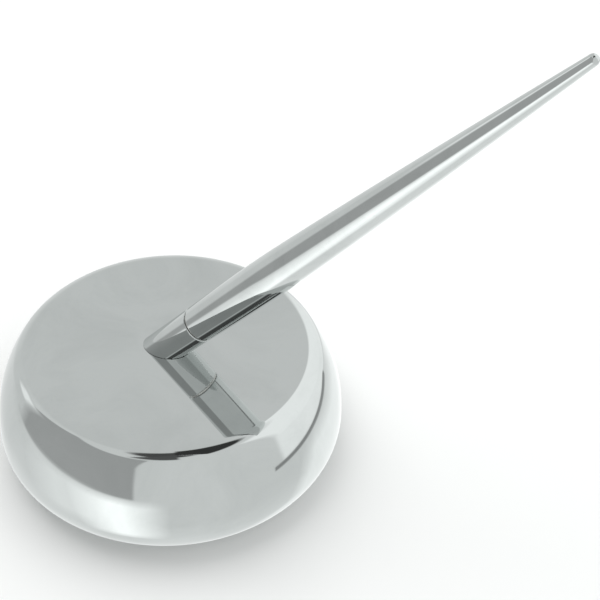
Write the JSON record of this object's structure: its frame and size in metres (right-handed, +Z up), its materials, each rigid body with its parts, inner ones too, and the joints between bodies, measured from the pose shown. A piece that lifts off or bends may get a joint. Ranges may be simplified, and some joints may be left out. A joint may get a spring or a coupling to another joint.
{
  "type": "desk pen set",
  "caption": "Desk pen set: a round weighted chrome base, a leaning chrome holder that swivels on its flat top, and a long tapered ballpoint pen that lifts out.",
  "frame": {"origin": "centre of the felt pad's underside, where the base stands on the desk", "axes": "+Z up through the swivel's axis, +X the way the pen leans in the stored pose"},
  "size_m": [0.1368, 0.09, 0.1345],
  "materials": {
    "polished_chrome": "mirror-polished chrome plate",
    "cast_iron": "rough grey casting",
    "zinc_steel": "zinc-plated steel",
    "spring_steel": "oiled spring steel",
    "satin_steel": "finely turned nickel",
    "refill_metal": "drawn tube",
    "carbide": "polished carbide ball",
    "felt": "dense felt",
    "brass": "turned brass",
    "dark_plastic": "moulded dark plastic",
    "white_plastic": "slippery white plastic",
    "black_rubber": "soft black rubber",
    "ink": "dark blue ink paste"
  },
  "bodies": {
    "base": {"base_shell": "polished_chrome", "ballast_weight": "cast_iron", "bottom_plate": "zinc_steel", "plate_screws": "zinc_steel", "felt_pad": "felt", "pivot_bush": "brass", "bush_nut": "brass"},
    "holder": {"holder_sleeve": "polished_chrome", "holder_liner": "dark_plastic", "pivot_stud": "zinc_steel", "foot_washer": "white_plastic", "thrust_washer": "zinc_steel", "disc_spring": "spring_steel", "lock_nut": "zinc_steel"},
    "pen": {"pen_barrel": "polished_chrome", "thread_bush": "brass", "pen_nose": "satin_steel", "nose_o_ring": "black_rubber", "refill_tube": "refill_metal", "refill_tip": "brass", "writing_ball": "carbide", "refill_ink": "ink", "refill_plug": "white_plastic", "refill_spring": "spring_steel"}
  },
  "joints": [
    {"name": "holder_swivel", "type": "hinge", "parent": "base", "child": "holder", "pos_m": [0, 0, 0.03], "axis": [0, 0, 1], "continuous": true},
    {"name": "pen_lift", "type": "slide", "parent": "holder", "child": "pen", "axis": [0.6626, 0, 0.749], "range_m": [0, 0.04]}
  ]
}
